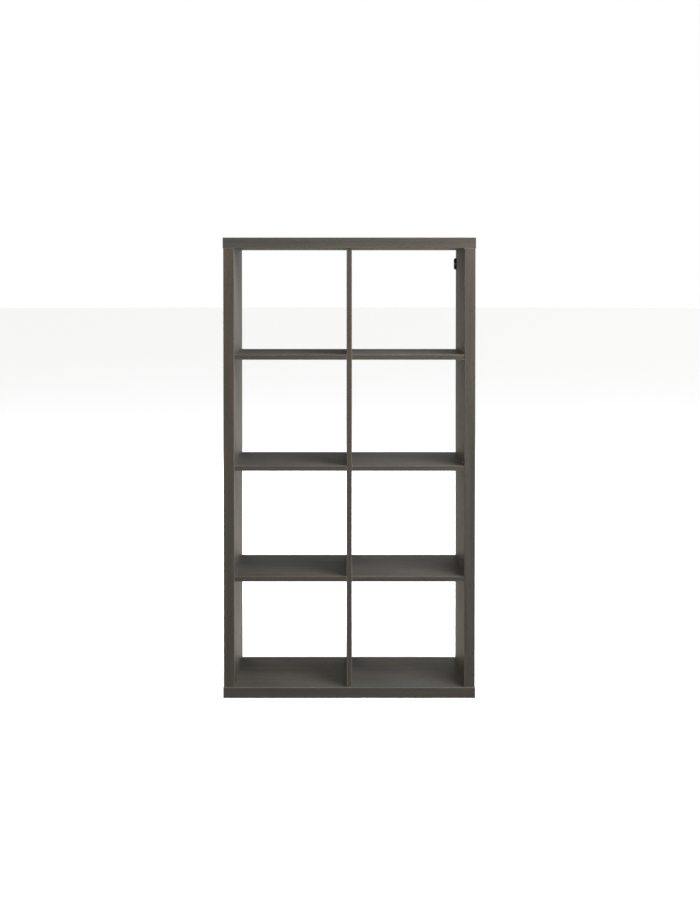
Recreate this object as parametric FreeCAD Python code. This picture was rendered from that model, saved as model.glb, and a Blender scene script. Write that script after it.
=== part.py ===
import FreeCAD, Part
import math
import os

from FreeCAD import Placement, Rotation, Vector

# Open cube storage unit, in millimetres. +Z is up, the open front faces -Y, and the origin
# is on the floor below the centre of the unit. Four hollow panels make the carcass. One
# upright divider runs from the bottom panel to the top panel, with short shelves either side.

# Compartments
COLUMNS = 2
ROWS = 4
CELL_WIDTH = 355.0  # clear width of a compartment
CELL_HEIGHT = 335.0  # clear height of a compartment

# Boards and panels
BOARD_THICKNESS = 16.0  # divider and shelves
PANEL_THICKNESS = 34.0  # top, bottom and side panels
DEPTH = 390.0  # top and bottom panels, front edge to rear edge
SIDE_SETBACK = 1.0  # side panels behind the top and bottom panels, front and rear
BOARD_SETBACK = 4.0  # divider and shelves behind the top and bottom panels
PANEL_OVERHANG = 1.5  # top and bottom panels past each side panel
PANEL_BAND = 2.0  # edge bands of the panels
PANEL_ARRIS_RADIUS = 1.6
BOARD_BAND = 1.0  # edge bands of the divider and shelves
BOARD_ARRIS_RADIUS = 0.8

# Inside a hollow panel
SKIN_THICKNESS = 3.0
LONG_RAIL_WIDTH = 35.0
END_RAIL_WIDTH = 60.0
CROSS_RAIL_WIDTH = 50.0
COMB_PITCH = 25.0  # nominal distance between honeycomb strips
COMB_WALL = 0.8

# Wooden dowels
DOWEL_RADIUS = 4.0
DOWEL_CLEARANCE = 0.05
DOWEL_END_GAP = 1.0
DOWEL_CHAMFER = 0.8
DOWEL_IN_PANEL = 14.0  # depth of a dowel in the inner face of a panel
DOWEL_IN_BOARD = 20.0  # depth of a dowel in the end of a board or side panel
SHELF_DOWEL_SETBACK = 70.0
CORNER_DOWEL_SETBACK = 110.0

# Connector bolts through the top and bottom panels into the side panels
BOLT_SETBACK = 50.0
BOLT_RADIUS = 3.0
BOLT_HEAD_RADIUS = 6.5
BOLT_HEAD_HEIGHT = 3.0
BOLT_HEAD_CHAMFER = 0.6
BOLT_HEAD_SINK = 1.0  # head below the panel's face
BOLT_IN_SIDE = 23.0
BOLT_THREAD_LENGTH = 20.0
BOLT_THREAD_PITCH = 1.0
BOLT_THREAD_DEPTH = 0.5
BOLT_HOLE_RADIUS = 3.5
BOLT_SINK_RADIUS = 7.0
SOCKET_ACROSS_FLATS = 4.0
SOCKET_DEPTH = 3.5
INSERT_RADIUS = 4.95
INSERT_BORE_RADIUS = 3.05
INSERT_LENGTH = 25.0
INSERT_HOLE_RADIUS = 5.0
INSERT_HOLE_DEPTH = 27.0

# Wall bracket at the rear of the top right compartment
BRACKET_DROP = 46.0  # middle of the bracket below the top panel
BRACKET_HEIGHT = 39.0
BRACKET_THICKNESS = 7.0  # stands this far off the side panel
BRACKET_DEPTH = 30.0  # forward from the wall
BRACKET_CORNER_RADIUS = 6.0
BRACKET_FRONT_RADIUS = 1.0
WALL_HOLE_RADIUS = 1.75
SCREW_SPACING = 19.0
SCREW_HOLE_RADIUS = 2.0
SCREW_SINK_RADIUS = 3.8
SCREW_SEAT = 3.5  # seat of the screw heads above the side panel
SCREW_RADIUS = 1.75
SCREW_PILOT_RADIUS = 1.8
SCREW_LENGTH = 18.0
SCREW_POINT = 3.0
SCREW_PLAIN = 3.5  # unthreaded length under the head
SCREW_THREAD_PITCH = 1.6
SCREW_THREAD_DEPTH = 0.45
SCREW_HEAD_RADIUS = 3.5
SCREW_HEAD_HEIGHT = 2.2
SCREW_DOME_STEPS = 6
SCREW_SLOT_LENGTH = 3.8
SCREW_SLOT_WIDTH = 0.9
SCREW_SLOT_DEPTH = 1.3

# Derived sizes
INNER_WIDTH = COLUMNS * CELL_WIDTH + (COLUMNS - 1) * BOARD_THICKNESS
INNER_HEIGHT = ROWS * CELL_HEIGHT + (ROWS - 1) * BOARD_THICKNESS
INNER_FLOOR = PANEL_THICKNESS
INNER_CEILING = INNER_FLOOR + INNER_HEIGHT
HEIGHT = INNER_CEILING + PANEL_THICKNESS
BODY_WIDTH = INNER_WIDTH + 2 * PANEL_THICKNESS
TOP_LENGTH = BODY_WIDTH + 2 * PANEL_OVERHANG
SIDE_DEPTH = DEPTH - 2 * SIDE_SETBACK
BOARD_DEPTH = DEPTH - 2 * BOARD_SETBACK
SIDE_CENTRE_X = (INNER_WIDTH + PANEL_THICKNESS) / 2
ROW_PITCH = CELL_HEIGHT + BOARD_THICKNESS
SHELF_LEVELS = [INNER_FLOOR + row * ROW_PITCH - BOARD_THICKNESS / 2 for row in range(1, ROWS)]
SHELF_NAMES = ["lower", "middle", "upper"]
SHELF_DOWEL_Y = BOARD_DEPTH / 2 - SHELF_DOWEL_SETBACK
CORNER_DOWEL_Y = DEPTH / 2 - CORNER_DOWEL_SETBACK
BOLT_Y = DEPTH / 2 - BOLT_SETBACK
BRACKET_CENTRE_Z = INNER_CEILING - BRACKET_DROP


def span_box(x_span, y_span, z_span):
    """Closed box between the low and high value of each axis."""
    corner = Vector(x_span[0], y_span[0], z_span[0])
    size = [span[1] - span[0] for span in (x_span, y_span, z_span)]
    return Part.makeBox(size[0], size[1], size[2], corner)


def centred(length):
    """Low and high value of a span of this length about zero."""
    return (-length / 2, length / 2)


def both_signs(distance):
    """The same distance on either side of zero."""
    return (-distance, distance)


def along_edges(solid, direction, on_surface):
    """Straight edges that run in a direction and whose middle satisfies on_surface."""
    found = []
    for edge in solid.Edges:
        ends = [vertex.Point for vertex in edge.Vertexes]
        if len(ends) != 2:
            continue
        run = (ends[1] - ends[0]).normalize()
        middle = (ends[0] + ends[1]) * 0.5
        if abs(abs(run.dot(direction)) - 1) < 1e-6 and on_surface(middle):
            found.append(edge)
    return found


def turned(profile, foot, outward):
    """Solid of revolution from (radius, height) points, its height axis laid along outward."""
    points = [Vector(radius, 0, height) for radius, height in profile]
    outline = Part.makePolygon(points + [points[0]])
    solid = Part.Face(outline).revolve(Vector(0, 0, 0), Vector(0, 0, 1), 360)
    solid.Placement = Placement(foot, Rotation(Vector(0, 0, 1), outward))
    return solid


def thread_profile(radius, pitch, thread_depth, start, length):
    """Sawtooth (radius, height) points of a thread that runs down from start."""
    points = []
    for turn in range(int(length / pitch)):
        crest = start - (turn + 0.5) * pitch
        points.append((radius - thread_depth, crest + pitch / 2))
        points.append((radius, crest))
    points.append((radius - thread_depth, start - length))
    return points


# Hollow panels


class HollowPanel:
    """Board-on-frame panel lying flat: length along X, depth along Y, outer face up."""

    def __init__(self, length, depth, cross_rail_centres, banded_ends):
        self.length = length
        self.depth = depth
        self.cross_rail_centres = cross_rail_centres
        self.banded_ends = banded_ends
        self.frame_half = length / 2 - (PANEL_BAND if banded_ends else 0)
        self.frame_depth = depth - 2 * PANEL_BAND
        self.core_height = PANEL_THICKNESS - 2 * SKIN_THICKNESS
        self.bay_depth = self.frame_depth - 2 * LONG_RAIL_WIDTH
        self.rails_end = self.frame_half - END_RAIL_WIDTH

    def skin(self, side):
        """Face sheet on the outer (+1) or inner (-1) side."""
        z_span = sorted((side * PANEL_THICKNESS / 2, side * self.core_height / 2))
        return span_box(both_signs(self.frame_half), centred(self.frame_depth), z_span)

    def long_rails(self):
        """Front and rear rails, between the end rails."""
        rails = []
        for side in (-1, 1):
            y_span = sorted((side * self.frame_depth / 2, side * self.bay_depth / 2))
            rails.append(
                span_box(both_signs(self.rails_end), y_span, centred(self.core_height)))
        return Part.makeCompound(rails)

    def end_rails(self):
        """Full-depth rails at the two ends, which hold the corner fastenings."""
        rails = []
        for side in (-1, 1):
            x_span = sorted((side * self.rails_end, side * self.frame_half))
            rails.append(
                span_box(x_span, centred(self.frame_depth), centred(self.core_height)))
        return Part.makeCompound(rails)

    def cross_rails(self):
        """Rails between the long rails wherever a board is dowelled to the panel."""
        rails = []
        for centre in self.cross_rail_centres:
            x_span = (centre - CROSS_RAIL_WIDTH / 2, centre + CROSS_RAIL_WIDTH / 2)
            rails.append(
                span_box(x_span, centred(self.bay_depth), centred(self.core_height)))
        return Part.makeCompound(rails)

    def bays(self):
        """Low and high X of each space between neighbouring cross rails and end rails."""
        lows = [-self.rails_end] + [c + CROSS_RAIL_WIDTH / 2 for c in self.cross_rail_centres]
        highs = [c - CROSS_RAIL_WIDTH / 2 for c in self.cross_rail_centres] + [self.rails_end]
        return zip(lows, highs)

    def comb_strip(self, centre, swing):
        """One folded paper strip across the bay, its flats swung to either side of centre."""
        cell_count = round(self.bay_depth / (2 * math.sqrt(3) * COMB_PITCH))
        side = self.bay_depth / (3 * cell_count)
        folds = []
        for cell in range(cell_count):
            start = -self.bay_depth / 2 + 3 * side * cell
            folds.append((centre + swing, start + 0.5 * side))
            folds.append((centre - swing, start + side))
            folds.append((centre - swing, start + 2 * side))
            folds.append((centre + swing, start + 2.5 * side))
        folds.insert(0, (centre + swing, -self.bay_depth / 2))
        folds.append((centre + swing, self.bay_depth / 2))
        low = -self.core_height / 2
        right = [Vector(x + COMB_WALL / 2, y, low) for x, y in folds]
        left = [Vector(x - COMB_WALL / 2, y, low) for x, y in reversed(folds)]
        outline = Part.makePolygon(right + left + [right[0]])
        return Part.Face(outline).extrude(Vector(0, 0, self.core_height))

    def honeycomb_core(self):
        """Expanded paper honeycomb that fills every bay of the frame."""
        strips = []
        for low, high in self.bays():
            count = round((high - low) / COMB_PITCH)
            pitch = (high - low) / count
            swing = (pitch - COMB_WALL) / 2
            for index in range(count):
                centre = low + (index + 0.5) * pitch
                strips.append(self.comb_strip(centre, swing * (-1) ** index))
        return Part.makeCompound(strips)

    def edge_bands(self):
        """Bands on the front and rear edges, and on the ends where they show."""
        bands = []
        half_depth = self.depth / 2
        for side in (-1, 1):
            y_span = sorted((side * half_depth, side * self.frame_depth / 2))
            band = span_box(centred(self.length), y_span, centred(PANEL_THICKNESS))

            def on_face(point, y=side * half_depth):
                return abs(point.y - y) < 1e-6

            edges = along_edges(band, Vector(1, 0, 0), on_face)
            if self.banded_ends:
                edges += along_edges(band, Vector(0, 0, 1), on_face)
            bands.append(band.makeFillet(PANEL_ARRIS_RADIUS, edges))
        if self.banded_ends:
            bands += self.end_bands()
        return Part.makeCompound(bands)

    def end_bands(self):
        """Bands on the two ends, between the front and rear bands."""
        bands = []
        for side in (-1, 1):
            x_span = sorted((side * self.length / 2, side * self.frame_half))
            band = span_box(x_span, centred(self.frame_depth), centred(PANEL_THICKNESS))

            def on_face(point, x=side * self.length / 2):
                return abs(point.x - x) < 1e-6

            edges = along_edges(band, Vector(0, 1, 0), on_face)
            bands.append(band.makeFillet(PANEL_ARRIS_RADIUS, edges))
        return bands

    def nodes(self, panel_name, outer_name, inner_name, cross_name, placement):
        """Every piece of the panel under its node name, placed in the unit."""
        pieces = {
            f"{panel_name}_{outer_name}_skin": self.skin(1),
            f"{panel_name}_{inner_name}_skin": self.skin(-1),
            f"{panel_name}_long_rails": self.long_rails(),
            f"{panel_name}_end_rails": self.end_rails(),
            f"{panel_name}_{cross_name}": self.cross_rails(),
            f"{panel_name}_honeycomb_core": self.honeycomb_core(),
            f"{panel_name}_edge_bands": self.edge_bands(),
        }
        for piece in pieces.values():
            piece.Placement = placement
        return pieces


def top_and_bottom_panels():
    """The two level panels, whose middle rail takes the divider's dowels."""
    panel = HollowPanel(TOP_LENGTH, DEPTH, [0.0], banded_ends=True)
    upright = Rotation()
    turned_over = Rotation(Vector(1, 0, 0), 180)
    top_place = Placement(Vector(0, 0, HEIGHT - PANEL_THICKNESS / 2), upright)
    bottom_place = Placement(Vector(0, 0, PANEL_THICKNESS / 2), turned_over)
    nodes = panel.nodes("top_panel", "upper", "lower", "middle_rail", top_place)
    nodes.update(panel.nodes("bottom_panel", "lower", "upper", "middle_rail", bottom_place))
    return nodes


def side_panels():
    """The two upright panels, whose cross rails take the shelves' dowels."""
    middle = INNER_FLOOR + INNER_HEIGHT / 2
    nodes = {}
    for name, side in (("left_side", -1), ("right_side", 1)):
        # A quarter turn about Y stands the panel up with its outer face outwards, and
        # carries +X to -Z on the right and to +Z on the left.
        rail_centres = sorted(-side * (level - middle) for level in SHELF_LEVELS)
        panel = HollowPanel(INNER_HEIGHT, SIDE_DEPTH, rail_centres, banded_ends=False)
        quarter_turn = Rotation(Vector(0, 1, 0), side * 90)
        place = Placement(Vector(side * SIDE_CENTRE_X, 0, middle), quarter_turn)
        nodes.update(panel.nodes(name, "outer", "inner", "shelf_rails", place))
    return nodes


# Divider and shelves


def board_edge_bands(x_span, z_span, run):
    """Front and rear bands of a solid board, eased along the run of their long edges."""
    bands = []
    for side in (-1, 1):
        face_y = side * BOARD_DEPTH / 2
        y_span = sorted((face_y, face_y - side * BOARD_BAND))
        band = span_box(x_span, y_span, z_span)

        def on_face(point, y=face_y):
            return abs(point.y - y) < 1e-6

        bands.append(band.makeFillet(BOARD_ARRIS_RADIUS, along_edges(band, run, on_face)))
    return Part.makeCompound(bands)


def centre_divider():
    """Upright board from the bottom panel to the top panel, with its bands."""
    x_span = centred(BOARD_THICKNESS)
    z_span = (INNER_FLOOR, INNER_CEILING)
    core_depth = BOARD_DEPTH - 2 * BOARD_BAND
    return {
        "centre_divider_board": span_box(x_span, centred(core_depth), z_span),
        "centre_divider_edge_bands": board_edge_bands(x_span, z_span, Vector(0, 0, 1)),
    }


def shelf(x_span, level):
    """One compartment's shelf board and its bands."""
    z_span = (level - BOARD_THICKNESS / 2, level + BOARD_THICKNESS / 2)
    core_depth = BOARD_DEPTH - 2 * BOARD_BAND
    board = span_box(x_span, centred(core_depth), z_span)
    return board, board_edge_bands(x_span, z_span, Vector(1, 0, 0))


def shelves():
    """Three shelves to the left of the divider and three to its right."""
    half_board = BOARD_THICKNESS / 2
    columns = (
        ("left", (-INNER_WIDTH / 2, -half_board)),
        ("right", (half_board, INNER_WIDTH / 2)),
    )
    nodes = {}
    for column_name, x_span in columns:
        for level_name, level in zip(SHELF_NAMES, SHELF_LEVELS):
            board, bands = shelf(x_span, level)
            nodes[f"{level_name}_{column_name}_shelf_board"] = board
            nodes[f"{level_name}_{column_name}_shelf_edge_bands"] = bands
    return nodes


# Dowels


def dowel(start, direction, length):
    """Chamfered wooden dowel that runs from start along direction."""
    profile = [
        (0, 0),
        (DOWEL_RADIUS - DOWEL_CHAMFER, 0),
        (DOWEL_RADIUS, DOWEL_CHAMFER),
        (DOWEL_RADIUS, length - DOWEL_CHAMFER),
        (DOWEL_RADIUS - DOWEL_CHAMFER, length),
        (0, length),
    ]
    return turned(profile, start, direction)


def dowel_hole(start, direction, length):
    """Drilling for a dowel, a little wider and longer than the dowel."""
    mouth = start - direction * DOWEL_END_GAP
    hole_length = length + 2 * DOWEL_END_GAP
    return Part.makeCylinder(DOWEL_RADIUS + DOWEL_CLEARANCE, hole_length, mouth, direction)


def dowel_runs():
    """Start, direction and length of every dowel, listed by node name."""
    up = Vector(0, 0, 1)
    right = Vector(1, 0, 0)
    joint_length = DOWEL_IN_PANEL + DOWEL_IN_BOARD
    through_length = BOARD_THICKNESS + 2 * DOWEL_IN_BOARD
    corner_places = [(x, y) for x in both_signs(SIDE_CENTRE_X)
                     for y in both_signs(CORNER_DOWEL_Y)]
    divider_places = [(0, y) for y in both_signs(SHELF_DOWEL_Y)]
    shelf_places = [(y, level) for level in SHELF_LEVELS for y in both_signs(SHELF_DOWEL_Y)]
    low_start = INNER_FLOOR - DOWEL_IN_PANEL
    high_start = INNER_CEILING - DOWEL_IN_BOARD
    left_start = -INNER_WIDTH / 2 - DOWEL_IN_PANEL
    middle_start = -through_length / 2
    right_start = INNER_WIDTH / 2 - DOWEL_IN_BOARD
    runs = {
        "corner_dowels_bottom": [
            (Vector(x, y, low_start), up, joint_length) for x, y in corner_places],
        "corner_dowels_top": [
            (Vector(x, y, high_start), up, joint_length) for x, y in corner_places],
        "divider_dowels_bottom": [
            (Vector(x, y, low_start), up, joint_length) for x, y in divider_places],
        "divider_dowels_top": [
            (Vector(x, y, high_start), up, joint_length) for x, y in divider_places],
        "shelf_dowels_left_side": [
            (Vector(left_start, y, z), right, joint_length) for y, z in shelf_places],
        "shelf_dowels_through_divider": [
            (Vector(middle_start, y, z), right, through_length) for y, z in shelf_places],
        "shelf_dowels_right_side": [
            (Vector(right_start, y, z), right, joint_length) for y, z in shelf_places],
    }
    return runs


# Connector bolts and threaded inserts


def connector_bolt(seat, outward):
    """Hex-socket bolt whose head seats at seat and faces outward."""
    shank_length = PANEL_THICKNESS - BOLT_HEAD_SINK - BOLT_HEAD_HEIGHT + BOLT_IN_SIDE
    thread_start = BOLT_THREAD_LENGTH - shank_length
    profile = [
        (0, BOLT_HEAD_HEIGHT),
        (BOLT_HEAD_RADIUS - BOLT_HEAD_CHAMFER, BOLT_HEAD_HEIGHT),
        (BOLT_HEAD_RADIUS, BOLT_HEAD_HEIGHT - BOLT_HEAD_CHAMFER),
        (BOLT_HEAD_RADIUS, 0),
        (BOLT_RADIUS, 0),
        (BOLT_RADIUS, thread_start),
    ]
    profile += thread_profile(
        BOLT_RADIUS, BOLT_THREAD_PITCH, BOLT_THREAD_DEPTH, thread_start, BOLT_THREAD_LENGTH)
    profile.append((0, -shank_length))
    bolt = turned(profile, seat, outward)
    corner_radius = SOCKET_ACROSS_FLATS / math.sqrt(3)
    corners = []
    for corner in range(7):
        angle = corner * math.pi / 3
        corners.append(Vector(corner_radius * math.cos(angle), corner_radius * math.sin(angle),
                              BOLT_HEAD_HEIGHT - SOCKET_DEPTH))
    socket = Part.Face(Part.makePolygon(corners)).extrude(Vector(0, 0, SOCKET_DEPTH))
    socket.Placement = bolt.Placement
    return bolt.cut(socket)


def threaded_insert(mouth, inward):
    """Metal sleeve in the end of a side panel that the bolt screws into."""
    profile = [
        (INSERT_BORE_RADIUS, 0),
        (INSERT_RADIUS, 0),
        (INSERT_RADIUS, INSERT_LENGTH),
        (INSERT_BORE_RADIUS, INSERT_LENGTH),
    ]
    return turned(profile, mouth, inward)


def bolted_joint(x, y, seam_z, outward):
    """Bolt, insert and drillings that hold a level panel to the end of a side panel."""
    seam = Vector(x, y, seam_z)
    inward = outward * -1
    sink_depth = BOLT_HEAD_SINK + BOLT_HEAD_HEIGHT
    seat = seam + outward * (PANEL_THICKNESS - sink_depth)
    drillings = [
        Part.makeCylinder(BOLT_SINK_RADIUS, sink_depth, seat, outward),
        Part.makeCylinder(BOLT_HOLE_RADIUS, PANEL_THICKNESS - sink_depth, seam, outward),
        Part.makeCylinder(INSERT_HOLE_RADIUS, INSERT_HOLE_DEPTH, seam, inward),
    ]
    return connector_bolt(seat, outward), threaded_insert(seam, inward), drillings


def bolted_joints():
    """The eight bolted corners: nodes for bolts and inserts, and all their drillings."""
    nodes = {}
    drillings = []
    ends = (
        ("bottom", INNER_FLOOR, Vector(0, 0, -1)),
        ("top", INNER_CEILING, Vector(0, 0, 1)),
    )
    for end_name, seam_z, outward in ends:
        bolts = []
        inserts = []
        for x in both_signs(SIDE_CENTRE_X):
            for y in both_signs(BOLT_Y):
                bolt, insert, holes = bolted_joint(x, y, seam_z, outward)
                bolts.append(bolt)
                inserts.append(insert)
                drillings += holes
        nodes[f"connector_bolts_{end_name}"] = Part.makeCompound(bolts)
        nodes[f"threaded_inserts_{end_name}"] = Part.makeCompound(inserts)
    return nodes, drillings


# Wall bracket


def wall_bracket():
    """Moulded block on the right side panel, bored through to the wall behind."""
    side_x = INNER_WIDTH / 2
    front_y = DEPTH / 2 - BRACKET_DEPTH
    free_x = side_x - BRACKET_THICKNESS
    low_z = BRACKET_CENTRE_Z - BRACKET_HEIGHT / 2
    block = span_box(
        (free_x, side_x), (front_y, DEPTH / 2), (low_z, low_z + BRACKET_HEIGHT))

    def on_free_side(point):
        return abs(point.x - free_x) < 1e-6

    corners = along_edges(block, Vector(0, 1, 0), on_free_side)
    block = block.makeFillet(BRACKET_CORNER_RADIUS, corners)
    front_arris = [
        edge for edge in block.Edges
        if edge.BoundBox.YMax < front_y + 1e-6 and edge.BoundBox.XMin < side_x - 1e-6]
    block = block.makeFillet(BRACKET_FRONT_RADIUS, front_arris)
    wall_hole = Part.makeCylinder(
        WALL_HOLE_RADIUS, BRACKET_DEPTH,
        Vector(side_x - BRACKET_THICKNESS / 2, front_y, BRACKET_CENTRE_Z), Vector(0, 1, 0))
    seat_x = side_x - SCREW_SEAT
    screw_holes = [
        Part.makeCylinder(SCREW_HOLE_RADIUS, SCREW_SEAT, place, Vector(1, 0, 0))
        for place in screw_places(seat_x)]
    screw_sinks = [
        Part.makeCylinder(SCREW_SINK_RADIUS, BRACKET_THICKNESS - SCREW_SEAT, place,
                          Vector(-1, 0, 0))
        for place in screw_places(seat_x)]
    return block.cut([wall_hole] + screw_holes + screw_sinks)


def screw_places(x):
    """Points on the axes of the two bracket screws at this X."""
    y = (DEPTH - BRACKET_DEPTH) / 2
    return [Vector(x, y, BRACKET_CENTRE_Z + offset) for offset in both_signs(SCREW_SPACING / 2)]


def bracket_screw(seat):
    """Pan-head wood screw through the bracket into the side panel."""
    dome = []
    for step in range(SCREW_DOME_STEPS, -1, -1):
        rise = step / SCREW_DOME_STEPS * math.pi / 2
        dome.append((SCREW_HEAD_RADIUS * math.cos(rise), SCREW_HEAD_HEIGHT * math.sin(rise)))
    dome[0] = (0, SCREW_HEAD_HEIGHT)
    thread_start = -SCREW_PLAIN
    thread_length = SCREW_LENGTH - SCREW_POINT + thread_start
    shank = [(SCREW_RADIUS, 0), (SCREW_RADIUS, thread_start)]
    shank += thread_profile(
        SCREW_RADIUS, SCREW_THREAD_PITCH, SCREW_THREAD_DEPTH, thread_start, thread_length)
    shank.append((0, -SCREW_LENGTH))
    screw = turned(dome + shank, seat, Vector(-1, 0, 0))
    z_span = (SCREW_HEAD_HEIGHT - SCREW_SLOT_DEPTH, SCREW_HEAD_HEIGHT)
    slots = [
        span_box(centred(SCREW_SLOT_LENGTH), centred(SCREW_SLOT_WIDTH), z_span),
        span_box(centred(SCREW_SLOT_WIDTH), centred(SCREW_SLOT_LENGTH), z_span),
    ]
    for slot in slots:
        slot.Placement = screw.Placement
    return screw.cut(slots)


def bracket_fastening():
    """The two bracket screws as one node, and the pilot holes they need."""
    seats = screw_places(INNER_WIDTH / 2 - SCREW_SEAT)
    screws = Part.makeCompound([bracket_screw(seat) for seat in seats])
    pilots = [
        Part.makeCylinder(SCREW_PILOT_RADIUS, SCREW_LENGTH, place, Vector(1, 0, 0))
        for place in screw_places(INNER_WIDTH / 2)]
    return {"wall_bracket": wall_bracket(), "wall_bracket_screws": screws}, pilots


# Assembly


def drilled(shape, drillings):
    """The shape with every drilling that reaches it taken out."""
    reaching = []
    for drilling in drillings:
        if drilling.BoundBox.intersect(shape.BoundBox):
            reaching.append(drilling)
    return shape.cut(reaching) if reaching else shape


def is_drilled_piece(name):
    """Skins, rails and boards are drilled; cores and bands are not."""
    return name.endswith(("_skin", "_rails", "_rail", "_board"))


def build_unit():
    """Every node of the storage unit, by name."""
    wood = {}
    wood.update(top_and_bottom_panels())
    wood.update(side_panels())
    wood.update(centre_divider())
    wood.update(shelves())

    fittings, drillings = bolted_joints()
    bracket_nodes, pilots = bracket_fastening()
    fittings.update(bracket_nodes)
    drillings += pilots
    for name, runs in dowel_runs().items():
        fittings[name] = Part.makeCompound([dowel(*run) for run in runs])
        drillings += [dowel_hole(*run) for run in runs]

    for name, shape in wood.items():
        if is_drilled_piece(name):
            wood[name] = drilled(shape, drillings)
    return {**wood, **fittings}


os.makedirs("parts", exist_ok=True)
for node_name, node_shape in build_unit().items():
    node_shape.exportStep(f"parts/{node_name}.step")
    print(f"{node_name}: {len(node_shape.Solids)} solid(s)")
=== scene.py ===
"""Visual model of the open cube storage unit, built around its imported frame.

Lengths are metres in the frame's own axes: +Z is up and the open front faces -Y. The foiled
panels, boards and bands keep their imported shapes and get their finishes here. Dowels, bolts,
inserts and screws are worked out again as fluted and threaded surfaces.
"""
import logging
import math
from dataclasses import dataclass
from enum import Enum
from functools import cached_property

import bpy
import numpy as np
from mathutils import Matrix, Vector


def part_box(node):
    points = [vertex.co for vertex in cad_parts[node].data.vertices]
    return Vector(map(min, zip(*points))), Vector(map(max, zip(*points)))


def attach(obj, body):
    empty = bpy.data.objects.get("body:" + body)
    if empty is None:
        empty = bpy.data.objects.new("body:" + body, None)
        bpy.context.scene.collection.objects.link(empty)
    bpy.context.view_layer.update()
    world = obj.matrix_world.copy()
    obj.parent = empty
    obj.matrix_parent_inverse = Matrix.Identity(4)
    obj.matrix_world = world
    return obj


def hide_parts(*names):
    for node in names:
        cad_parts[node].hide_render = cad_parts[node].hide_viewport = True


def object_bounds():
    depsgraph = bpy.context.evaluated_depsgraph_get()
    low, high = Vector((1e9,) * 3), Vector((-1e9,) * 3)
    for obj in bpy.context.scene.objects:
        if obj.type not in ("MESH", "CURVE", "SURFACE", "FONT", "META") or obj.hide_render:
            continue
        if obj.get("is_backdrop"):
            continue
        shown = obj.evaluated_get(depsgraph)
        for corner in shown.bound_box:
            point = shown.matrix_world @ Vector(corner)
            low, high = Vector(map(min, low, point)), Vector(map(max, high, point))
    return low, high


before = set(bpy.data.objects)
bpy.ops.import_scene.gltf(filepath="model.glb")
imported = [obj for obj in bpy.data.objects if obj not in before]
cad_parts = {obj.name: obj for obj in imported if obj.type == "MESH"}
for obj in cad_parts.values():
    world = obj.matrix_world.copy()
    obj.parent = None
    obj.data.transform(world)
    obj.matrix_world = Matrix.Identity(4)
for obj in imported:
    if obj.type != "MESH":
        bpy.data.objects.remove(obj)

LOG = logging.getLogger("cube_storage_unit")
ROOT_BODY = "root"
MM = 0.001
SHARP_ANGLE = math.radians(35)

Triple = tuple[float, float, float]
Colour = Triple
Range = tuple[float, float]
Socket = bpy.types.NodeSocket


class Run(Enum):
    """The way the grain runs on a piece, as the order in which X, Y and Z are read."""

    ALONG_X = ("X", "Y", "Z")
    ALONG_Y = ("Y", "X", "Z")
    ALONG_Z = ("Z", "Y", "X")


class Way(Enum):
    """The way from a fitting's foot to its head."""

    UP = (0, 0, 1)
    DOWN = (0, 0, -1)
    RIGHT = (1, 0, 0)
    LEFT = (-1, 0, 0)


# Node trees


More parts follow.
